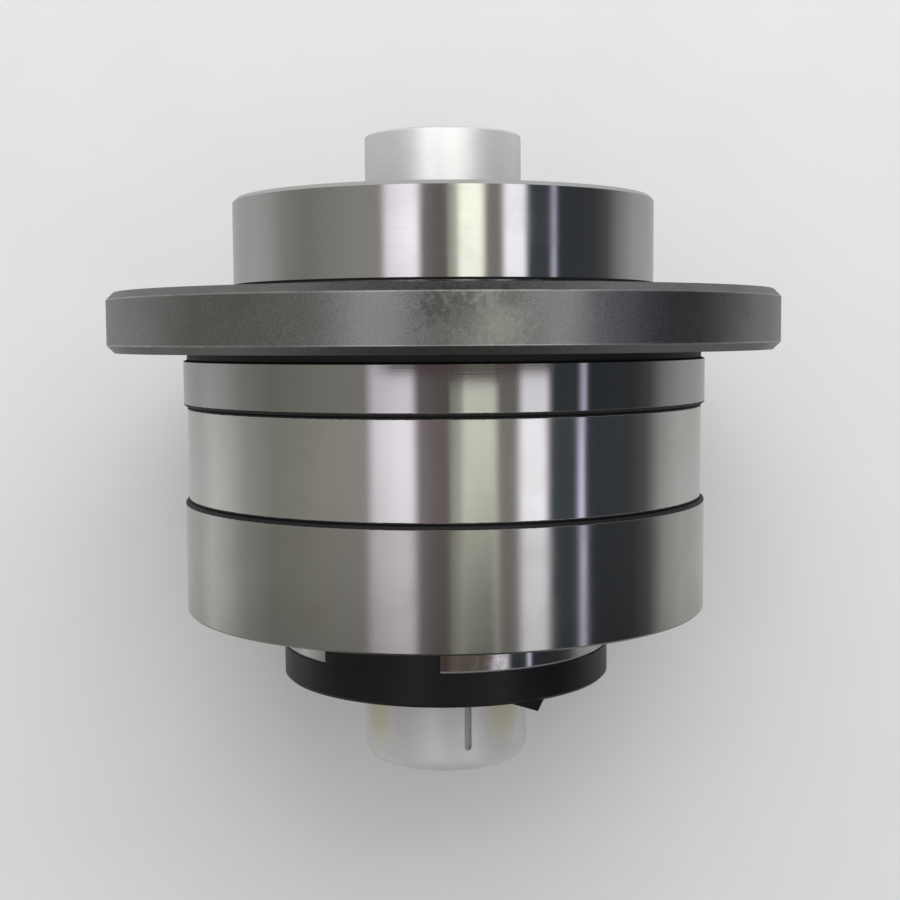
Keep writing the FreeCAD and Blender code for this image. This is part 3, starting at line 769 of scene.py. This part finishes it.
spacer_steel = ground_steel(
    "ground_spacer_steel",
    colour=(0.780, 0.774, 0.757),
    roughness=0.11,
    anisotropy=0.75,
    fineness=9.0,
    marks_size=9.0,
    joints=(UPPER_JOINT, LOWER_JOINT),
)
ring_steel = ground_steel(
    "ground_ring_steel",
    colour=(0.620, 0.612, 0.592),
    roughness=0.14,
    anisotropy=0.75,
    fineness=8.0,
    marks_size=7.0,
    joints=(LOWER_JOINT,),
)
dress(spacer_steel, "outer_ring_spacer")
dress(ring_steel, "plain_outer_ring")

# %% [markdown]
# ## Flange
# The flanged ring is one piece with two finishes. Its seat is ground like the other rings, and the undercut
# beside it is
# painted dark: oil in it, and painted shade under the flange. The flange was turned and then blackened, which
# leaves it dull and grainy, rubbed bright on its corners, with a dark finger smudge and a paler rubbed patch
# on the rim. One material does both, parted by the radius.

# %% Flange
FLANGE_BORDER = RING_RADIUS + 0.15
FLANGE_TOP_BAND = FLANGE_TOP - 0.5
UNDERCUT_RADIUS = 35.85
UNDERCUT_HALF_WIDTH = 0.55
UNDERCUT_HEIGHT = -0.36
UNDERCUT_HALF_HEIGHT = 0.86
SEAT_DARK = grey(0.50, 0.012)
SEAT_LIGHT = grey(0.54, 0.012)
SEAT_ROUGHNESS = (0.05, 0.065)
OXIDE_ROUGHNESS = (0.30, 0.42)
OXIDE_SPECKLE = (0.22, 0.78)
OXIDE_DARK = grey(0.245)
OXIDE_LIGHT = grey(0.475)
OXIDE_HANDLED = (0.285, 0.295, 0.268, 1)
SMUDGE = {"place": (35.1, -29.7, 5.2), "width": 4.6, "tall": 3.0, "ragged": 0.7}
SMUDGE_TONE = (0.158, 0.163, 0.144, 1)
FINGER_MARKS = ((33.8, -31.2, 5.4), (35.75, -28.95, 5.9), (38.6, -25.0, 6.2))
FINGER_SHAPE = {"width": 1.7, "tall": 1.4, "ragged": 0.8}
FINGER_TONE = (0.108, 0.113, 0.098, 1)
RUBBED = {"place": (38.35, -25.4, 2.9), "width": 3.0, "tall": 2.4, "ragged": 0.7}
RUBBED_TONE = grey(0.54, 0.04)
WORN_WIDTH = 0.15
WORN_TONE = grey(0.72)
SEAT_LINE_SHARE = 0.3
OXIDE_GRAIN_SHARE = 4.0
FLANGE_RELIEF = 0.0004


def blackened_tone(tree, grain):
    speckle = rise(tree, grain, *OXIDE_SPECKLE)
    marks = place_group(tree, handling_marks, Size=6.0)["Marks"]
    tone = mix_colour(tree, speckle, OXIDE_DARK, OXIDE_LIGHT)
    tone = tint(tree, tone, marks, amount=0.5, toward=OXIDE_HANDLED)
    tone = tint(tree, tone, spot(tree, **SMUDGE), amount=0.34, toward=SMUDGE_TONE)
    for place in FINGER_MARKS:
        tone = tint(tree, tone, spot(tree, place, **FINGER_SHAPE), amount=0.34, toward=FINGER_TONE)
    tone = tint(tree, tone, spot(tree, **RUBBED), amount=0.36, toward=RUBBED_TONE)
    wear = 0.0
    for height in (FLANGE_TOP - FLANGE_CHAMFER, FLANGE_CHAMFER):
        corner = place_group(tree, worn_corner, Radius=FLANGE_RADIUS, Height=height, Width=WORN_WIDTH)
        wear = calculate(tree, "MAXIMUM", wear, corner["Wear"])
    return mix_colour(tree, wear, tone, WORN_TONE)


def flanged_steel():
    finish, tree, shader = new_finish("flanged_ring_steel")
    _, radius, height, *_ = lathe_position(tree)
    outside = calculate(tree, "GREATER_THAN", radius, FLANGE_BORDER)
    oxide = calculate(tree, "MAXIMUM", outside, calculate(tree, "GREATER_THAN", height, FLANGE_TOP_BAND))
    # The undercut is painted dark with the dirt tone: oil, and painted shade under the flange.
    near_seat = calculate(tree, "COMPARE", height, UNDERCUT_HEIGHT, UNDERCUT_HALF_HEIGHT)
    near_ring = calculate(tree, "COMPARE", radius, UNDERCUT_RADIUS, UNDERCUT_HALF_WIDTH)
    undercut_shade = calculate(tree, "MULTIPLY", near_seat, near_ring)
    dirt = calculate(tree, "MAXIMUM", undercut_shade, dirty_joints(tree, (UPPER_JOINT,)))
    lines = place_group(tree, lathe_lines, Fineness=8.0, Wander=LINE_WANDER)["Lines"]
    grain = place_group(tree, fine_grain, Fineness=5.0)["Grain"]
    seat = mix_colour(tree, lines, SEAT_DARK, SEAT_LIGHT)
    clean = mix_colour(tree, oxide, seat, blackened_tone(tree, grain))
    feed(tree, shader.inputs["Base Color"], mix_colour(tree, dirt, clean, DIRT_AND_SHADE_TONE))
    feed(tree, shader.inputs["Metallic"], inverse(tree, dirt))
    ground = between(tree, lines, *SEAT_ROUGHNESS)
    grainy = spread(tree, grain, *NOISE_RANGE, *OXIDE_ROUGHNESS)
    duller = calculate(tree, "SUBTRACT", grainy, ground)
    set_roughness(tree, shader, ground, (oxide, duller), (dirt, DIRT_ROUGHER))
    set_grinding_direction(tree, shader, amount=0.30)
    fine = calculate(tree, "MULTIPLY", lines, SEAT_LINE_SHARE)
    coarse = calculate(tree, "MULTIPLY", grain, OXIDE_GRAIN_SHARE)
    relief = calculate(tree, "MULTIPLY_ADD", oxide, coarse, fine)
    set_relief(tree, shader, corner=0.10, height=relief, depth=FLANGE_RELIEF)
    return finish


dress(flanged_steel(), "flanged_outer_ring")

# %% [markdown]
# ## Nut
# The nut is hardened and ground outside, and its four tapped holes carry a thread. A cut thread could be
# modelled as a helix in each hole; at this size a wound bump reads the same and costs nothing. All four holes
# fall on one when the sign of X and Y is dropped, so a single helix serves them.
# Its chamfers were stoned by hand, which leaves them pale and dull, and the end face of the boss is duller
# than the wall. Between the ring and the cap one side is painted brown and darker: a film of packing oil,
# and painted shade under the ring.

# %% Nut
BOLT_X = 14.555
BOLT_Y = 12.213
THREAD_PITCH = 1.0
THREAD_DEPTH = 0.3
TAP_REACH = 2.56
NUT_DARK = grey(0.68, 0.010)
NUT_LIGHT = grey(0.75, 0.010)
NUT_HANDLED = grey(0.60, 0.03)
NUT_ROUGHNESS = (0.09, 0.12)
# Brown patch under the ring: oil film and painted shade.
OIL_AND_SHADE_PATCH = {"place": (17.85, -14.5, -38.0), "width": 7.5, "tall": 7.0, "ragged": 0.2}
OIL_AND_SHADE_TONE = (0.36, 0.29, 0.28, 1.0)
BOSS_EDGE_RADIUS = BOSS_RADIUS - 0.55
BOSS_EDGE_HEIGHT = NUT_TOP - 0.524
FOOT_EDGE_RADIUS = 22.40
FOOT_EDGE_HEIGHT = NUT_FOOT + 0.36
EDGE_BLUR = 0.06
EDGE_TONE = grey(0.45)
EDGE_METAL = 0.40
FACE_DEPTH = 0.043
FACE_DARK = grey(0.46)
FACE_LIGHT = grey(0.52)
# Painted shade in the grooves of the tapped thread.
GROOVE_SHADE_TONE = grey(0.16)


def tapped_thread(tree, place, height):
    x, y, _ = split(tree, place)
    aside = calculate(tree, "SUBTRACT", calculate(tree, "ABSOLUTE", x), BOLT_X)
    across = calculate(tree, "SUBTRACT", calculate(tree, "ABSOLUTE", y), BOLT_Y)
    tapped = calculate(tree, "LESS_THAN", length(tree, aside, across), TAP_REACH)
    turn = calculate(tree, "DIVIDE", calculate(tree, "ARCTAN2", across, aside), 2 * math.pi)
    climb = calculate(tree, "ADD", calculate(tree, "DIVIDE", height, THREAD_PITCH), turn)
    thread = calculate(tree, "MULTIPLY", calculate(tree, "PINGPONG", climb, 0.5), 2.0)
    return tapped, thread


def stoned_edges(tree, radius, height):
    over = rise(tree, height, BOSS_EDGE_HEIGHT, BOSS_EDGE_HEIGHT + EDGE_BLUR)
    under = rise(tree, height, FOOT_EDGE_HEIGHT, FOOT_EDGE_HEIGHT - EDGE_BLUR)
    at_boss = rise(tree, radius, BOSS_EDGE_RADIUS, BOSS_EDGE_RADIUS + EDGE_BLUR)
    at_foot = rise(tree, radius, FOOT_EDGE_RADIUS, FOOT_EDGE_RADIUS + EDGE_BLUR)
    return calculate(tree, "MULTIPLY_ADD", over, at_boss, calculate(tree, "MULTIPLY", under, at_foot))


def nut_steel():
    finish, tree, shader = new_finish("nut_steel")
    place, radius, height, *_ = lathe_position(tree)
    lines = place_group(tree, lathe_lines, Fineness=9.0, Wander=LINE_WANDER)["Lines"]
    marks = place_group(tree, handling_marks, Size=8.0)["Marks"]
    oil_and_shade = spot(tree, **OIL_AND_SHADE_PATCH)
    edge = stoned_edges(tree, radius, height)
    face = calculate(tree, "GREATER_THAN", height, NUT_TOP - FACE_DEPTH)
    tapped, thread = tapped_thread(tree, place, height)
    # The thread's grooves are painted darker: painted shade in the tapped holes.
    groove_shade = calculate(tree, "MULTIPLY", tapped, inverse(tree, thread))
    tone = mix_colour(tree, lines, NUT_DARK, NUT_LIGHT)
    tone = tint(tree, tone, marks, amount=0.30, toward=NUT_HANDLED)
    # Painted shade and oil film under the ring, on one side of the nut's foot.
    tone = mix_colour(tree, oil_and_shade, tone, OIL_AND_SHADE_TONE)
    tone = mix_colour(tree, edge, tone, EDGE_TONE)
    tone = mix_colour(tree, face, tone, mix_colour(tree, lines, FACE_DARK, FACE_LIGHT))
    feed(tree, shader.inputs["Base Color"], mix_colour(tree, groove_shade, tone, GROOVE_SHADE_TONE))
    feed(tree, shader.inputs["Metallic"], between(tree, edge, 1.0, EDGE_METAL))
    rough = between(tree, lines, *NUT_ROUGHNESS)
    set_roughness(tree, shader, rough, (edge, 0.30), (face, 0.16), (marks, 0.05), (oil_and_shade, 0.10))
    set_grinding_direction(tree, shader, amount=0.7)
    cut = calculate(tree, "MULTIPLY", calculate(tree, "MULTIPLY", tapped, thread), THREAD_DEPTH / LINE_DEPTH)
    set_relief(tree, shader, corner=0.06, height=calculate(tree, "ADD", lines, cut), depth=LINE_DEPTH)
    return finish


dress(nut_steel(), "ball_nut_body")

# %% [markdown]
# ## Moulded and soft pieces
# The end caps are black moulded resin with a faint spark-eroded grain, a little greyer where it has been
# rubbed. Seals are rubber, softer and duller. The cages and wipers are resins of their own colour.
# One function serves all of them: two tones, a grain and a roughness range.

# %% Moulded and soft pieces
RUBBED_LIGHTER = 1.6
RUBBED_AMOUNT = 0.25


def moulded(name, dark, light, fineness, roughness, depth, corner, shine=0.35):
    finish, tree, shader = new_finish(name)
    grain = place_group(tree, fine_grain, Fineness=fineness)["Grain"]
    marks = place_group(tree, handling_marks, Size=5.0)["Marks"]
    rubbed = tuple(min(1.0, channel * RUBBED_LIGHTER) for channel in light[:3]) + (1.0,)
    tone = tint(tree, mix_colour(tree, grain, dark, light), marks, RUBBED_AMOUNT, rubbed)
    feed(tree, shader.inputs["Base Color"], tone)
    set_roughness(tree, shader, spread(tree, grain, *NOISE_RANGE, *roughness))
    shader.inputs["Specular IOR Level"].default_value = shine
    set_relief(tree, shader, corner, grain, depth)
    return finish


cap_resin = moulded(
    "cap_resin",
    dark=(0.0045, 0.0050, 0.0058, 1),
    light=(0.0075, 0.0082, 0.0090, 1),
    fineness=6.0,
    roughness=(0.30, 0.42),
    depth=0.008,
    corner=0.08,
    shine=0.45,
)
seal_rubber = moulded(
    "seal_rubber",
    dark=grey(0.011),
    light=grey(0.018),
    fineness=3.0,
    roughness=(0.60, 0.80),
    depth=0.010,
    corner=0.10,
)
cage_resin = moulded(
    "cage_resin",
    dark=(0.55, 0.49, 0.36, 1),
    light=(0.66, 0.60, 0.46, 1),
    fineness=2.0,
    roughness=(0.40, 0.52),
    depth=0.006,
    corner=0.12,
)
wiper_resin = moulded(
    "wiper_resin",
    dark=(0.050, 0.051, 0.052, 1),
    light=(0.070, 0.071, 0.072, 1),
    fineness=4.0,
    roughness=(0.45, 0.60),
    depth=0.008,
    corner=0.10,
)
dress(cap_resin, "upper_end_cap", "lower_end_cap")
dress(seal_rubber, "upper_bearing_seal", "lower_bearing_seal")
dress(cage_resin, "upper_bearing_cage", "lower_bearing_cage")
dress(wiper_resin, "upper_shaft_wiper", "lower_shaft_wiper")

# %% [markdown]
# ## Balls and screws
# The balls are lapped to a mirror and only carry faint swirls. The small socket screws are blackened and
# oiled, so they shine softly.

# %% Balls and screws
BALL_DARK = grey(0.66)
BALL_LIGHT = grey(0.72)
BALL_ROUGHNESS = (0.05, 0.10)
SCREW_DARK = grey(0.035)
SCREW_LIGHT = grey(0.060)
SCREW_RUBBED = grey(0.12, 0.02)
SCREW_ROUGHNESS = (0.28, 0.42)


def lapped_steel():
    finish, tree, shader = new_finish("ball_steel")
    swirl = place_group(tree, handling_marks, Size=1.5)["Marks"]
    feed(tree, shader.inputs["Base Color"], mix_colour(tree, swirl, BALL_DARK, BALL_LIGHT))
    shader.inputs["Metallic"].default_value = 1.0
    set_roughness(tree, shader, between(tree, swirl, *BALL_ROUGHNESS))
    return finish


def blackened_screws():
    finish, tree, shader = new_finish("screw_steel")
    grain = place_group(tree, fine_grain, Fineness=8.0)["Grain"]
    marks = place_group(tree, handling_marks, Size=1.2)["Marks"]
    tone = mix_colour(tree, grain, SCREW_DARK, SCREW_LIGHT)
    tone = tint(tree, tone, marks, amount=0.4, toward=SCREW_RUBBED)
    feed(tree, shader.inputs["Base Color"], tone)
    shader.inputs["Metallic"].default_value = 1.0
    set_roughness(tree, shader, spread(tree, grain, *NOISE_RANGE, *SCREW_ROUGHNESS))
    set_relief(tree, shader, corner=0.08, height=grain, depth=0.003)
    return finish


dress(
    lapped_steel(),
    "upper_bearing_balls",
    "lower_bearing_balls",
    "first_circuit_balls",
    "second_circuit_balls",
)
dress(blackened_screws(), "upper_end_cap_screws", "lower_end_cap_screws")

# %% [markdown]
# ## Arbor
# The arbor is drawn aluminium, turned to size and left satin, with duller sawn ends. Grease has crept out of
# the nut at its lower end and dried to two yellowish stains under the cap. They are blurred spots on the
# surface, fixed to the tube, so they move with it when it slides. Below the nut the collar is painted greyer:
# a thin grease film, and painted shade under the nut. The slot of the collar is painted grey: grease and dust
# in it, and painted shade in the recess.

# %% Arbor
SATIN_DARK = grey(0.84)
SATIN_LIGHT = grey(0.90)
SATIN_HANDLED = grey(0.74)
SATIN_ROUGHNESS = (0.36, 0.42)
SATIN_METAL = 0.42
GREASY_METAL = 0.10
SAWN_DARK = grey(0.56)
SAWN_LIGHT = grey(0.66)
STAINS = ((-1.9, -11.2, -49.0), (11.4, 0.2, -48.0))
STAIN_SHAPE = {"width": 4.0, "tall": 7.0, "ragged": 0.06}
STAIN_TONE = (0.56, 0.54, 0.41, 1)
COLLAR_TOP = -45.0
# Grey grease film and painted shade on the collar below the nut.
COLLAR_FILM_AND_SHADE_START = 1.0
COLLAR_FILM_AND_SHADE_AMOUNT = 0.4
COLLAR_FILM_AND_SHADE_TONE = grey(0.60)
ARBOR_MIDDLE = (ARBOR_FOOT + ARBOR_TOP) / 2
ARBOR_HALF_LENGTH = (ARBOR_TOP - ARBOR_FOOT) / 2
SLOT_MIDDLE = -49.8
SLOT_HALF_LENGTH = 4.3
SLOT_RADIUS = 10.6
SLOT_HALF_DEPTH = 0.65
# Grease in the slot, and painted shade in the recess.
SLOT_GREASE_AND_SHADE_TONE = grey(0.48)


def satin_aluminium():
    finish, tree, shader = new_finish("arbor_aluminium")
    lines = place_group(tree, lathe_lines, Fineness=4.0, Wander=3.0)["Lines"]
    marks = place_group(tree, handling_marks, Size=4.0)["Marks"]
    _, radius, height, *_ = lathe_position(tree)
    grease = 0.0
    for place in STAINS:
        grease = calculate(tree, "MAXIMUM", grease, spot(tree, place, **STAIN_SHAPE))
    beside = calculate(tree, "COMPARE", height, SLOT_MIDDLE, SLOT_HALF_LENGTH)
    inside = calculate(tree, "COMPARE", radius, SLOT_RADIUS, SLOT_HALF_DEPTH)
    slot = calculate(tree, "MULTIPLY", beside, inside)
    along = calculate(tree, "ABSOLUTE", calculate(tree, "SUBTRACT", height, ARBOR_MIDDLE))
    sawn = calculate(tree, "GREATER_THAN", along, ARBOR_HALF_LENGTH - FACE_DEPTH)
    # Painted shade under the nut, with a grey grease film, growing down the collar.
    film = spread(tree, height, COLLAR_TOP, COLLAR_TOP - COLLAR_FILM_AND_SHADE_START, 0.0, COLLAR_FILM_AND_SHADE_AMOUNT)
    tone = mix_colour(tree, lines, SATIN_DARK, SATIN_LIGHT)
    tone = tint(tree, tone, marks, amount=0.3, toward=SATIN_HANDLED)
    tone = mix_colour(tree, film, tone, COLLAR_FILM_AND_SHADE_TONE)
    tone = mix_colour(tree, sawn, tone, mix_colour(tree, lines, SAWN_DARK, SAWN_LIGHT))
    tone = mix_colour(tree, grease, tone, STAIN_TONE)
    # The slot is painted grey: grease and dust, and painted shade in the recess.
    feed(tree, shader.inputs["Base Color"], mix_colour(tree, slot, tone, SLOT_GREASE_AND_SHADE_TONE))
    soiled = calculate(tree, "MAXIMUM", grease, slot)
    feed(tree, shader.inputs["Metallic"], between(tree, soiled, SATIN_METAL, GREASY_METAL))
    set_roughness(tree, shader, between(tree, lines, *SATIN_ROUGHNESS))
    set_relief(tree, shader, corner=0.30, height=lines, depth=0.0012)
    return finish


dress(satin_aluminium(), "shipping_arbor")
